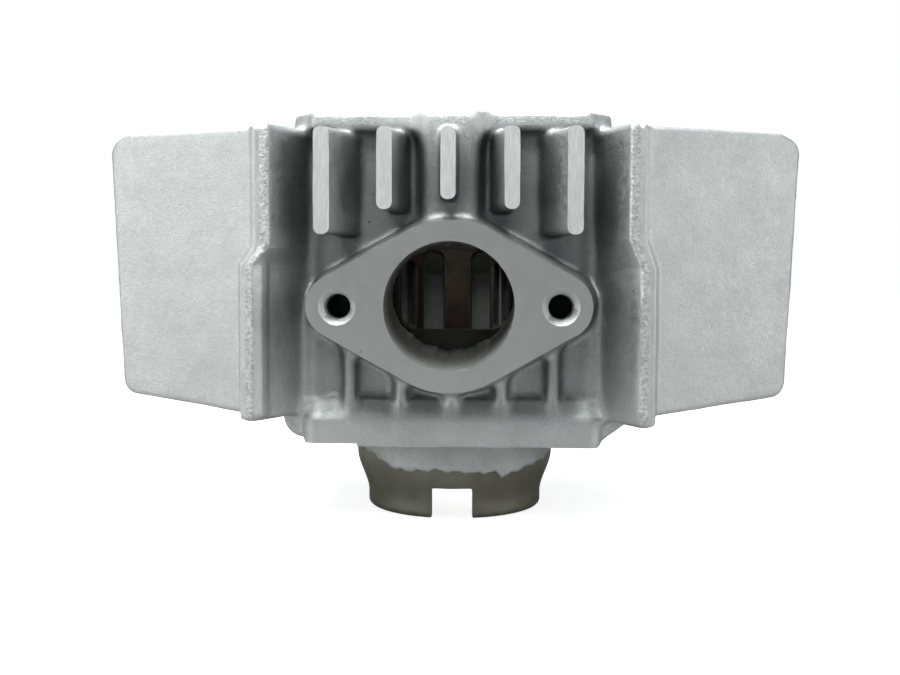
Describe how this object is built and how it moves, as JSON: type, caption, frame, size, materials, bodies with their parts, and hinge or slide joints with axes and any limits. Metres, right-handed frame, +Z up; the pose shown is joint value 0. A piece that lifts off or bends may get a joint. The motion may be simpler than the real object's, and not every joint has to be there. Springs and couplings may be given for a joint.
{
  "type": "two-stroke cylinder barrel",
  "caption": "Air-cooled two-stroke cylinder barrel: finned aluminium casting round an iron liner, with a two-bolt exhaust flange at the front and a notched liner skirt below.",
  "frame": {"origin": "on the bore axis, in the plane of the lower end of the liner skirt", "axes": "+Z up along the bore from the skirt to the head face, -Y out of the exhaust flange, +X to the right of a viewer who looks at the exhaust flange"},
  "size_m": [0.1642, 0.1, 0.099],
  "materials": {
    "cast_aluminium": "blasted as-cast grey, machined faces on the flange, deck and base",
    "liner_iron": "machined dark olive-grey iron, honed bore"
  },
  "bodies": {
    "root": {"casting_base_flange": "cast_aluminium", "casting_base_lug_left": "cast_aluminium", "casting_base_lug_right": "cast_aluminium", "casting_boost_wall_rear": "cast_aluminium", "casting_corner_web_front_left": "cast_aluminium", "casting_corner_web_front_right": "cast_aluminium", "casting_corner_web_rear_left": "cast_aluminium", "casting_corner_web_rear_right": "cast_aluminium", "casting_exhaust_flange": "cast_aluminium", "casting_exhaust_neck": "cast_aluminium", "casting_exhaust_passage_wall": "cast_aluminium", "casting_front_boss": "cast_aluminium", "casting_front_wall_lower": "cast_aluminium", "casting_front_wall_upper": "cast_aluminium", "casting_head_deck": "cast_aluminium", "casting_lower_rib_1": "cast_aluminium", "casting_lower_rib_2": "cast_aluminium", "casting_lower_rib_3": "cast_aluminium", "casting_lower_rib_4": "cast_aluminium", "casting_lower_rib_5": "cast_aluminium", "casting_rear_fin_1": "cast_aluminium", "casting_rear_fin_2": "cast_aluminium", "casting_rear_fin_3": "cast_aluminium", "casting_rear_fin_4": "cast_aluminium", "casting_rear_fin_5": "cast_aluminium", "casting_rear_fin_6": "cast_aluminium", "casting_rear_fin_7": "cast_aluminium", "casting_side_fin_left_1": "cast_aluminium", "casting_side_fin_left_2": "cast_aluminium", "casting_side_fin_left_3": "cast_aluminium", "casting_side_fin_left_4": "cast_aluminium", "casting_side_fin_left_5": "cast_aluminium", "casting_side_fin_right_1": "cast_aluminium", "casting_side_fin_right_2": "cast_aluminium", "casting_side_fin_right_3": "cast_aluminium", "casting_side_fin_right_4": "cast_aluminium", "casting_side_fin_right_5": "cast_aluminium", "casting_spigot_collar": "cast_aluminium", "casting_stud_column_front_left": "cast_aluminium", "casting_stud_column_front_right": "cast_aluminium", "casting_stud_column_rear_left": "cast_aluminium", "casting_stud_column_rear_right": "cast_aluminium", "casting_transfer_wall_left": "cast_aluminium", "casting_transfer_wall_right": "cast_aluminium", "casting_upper_fin_1": "cast_aluminium", "casting_upper_fin_2": "cast_aluminium", "casting_upper_fin_3": "cast_aluminium", "casting_upper_fin_4": "cast_aluminium", "casting_upper_fin_5": "cast_aluminium", "cylinder_liner": "liner_iron"}
  },
  "joints": []
}
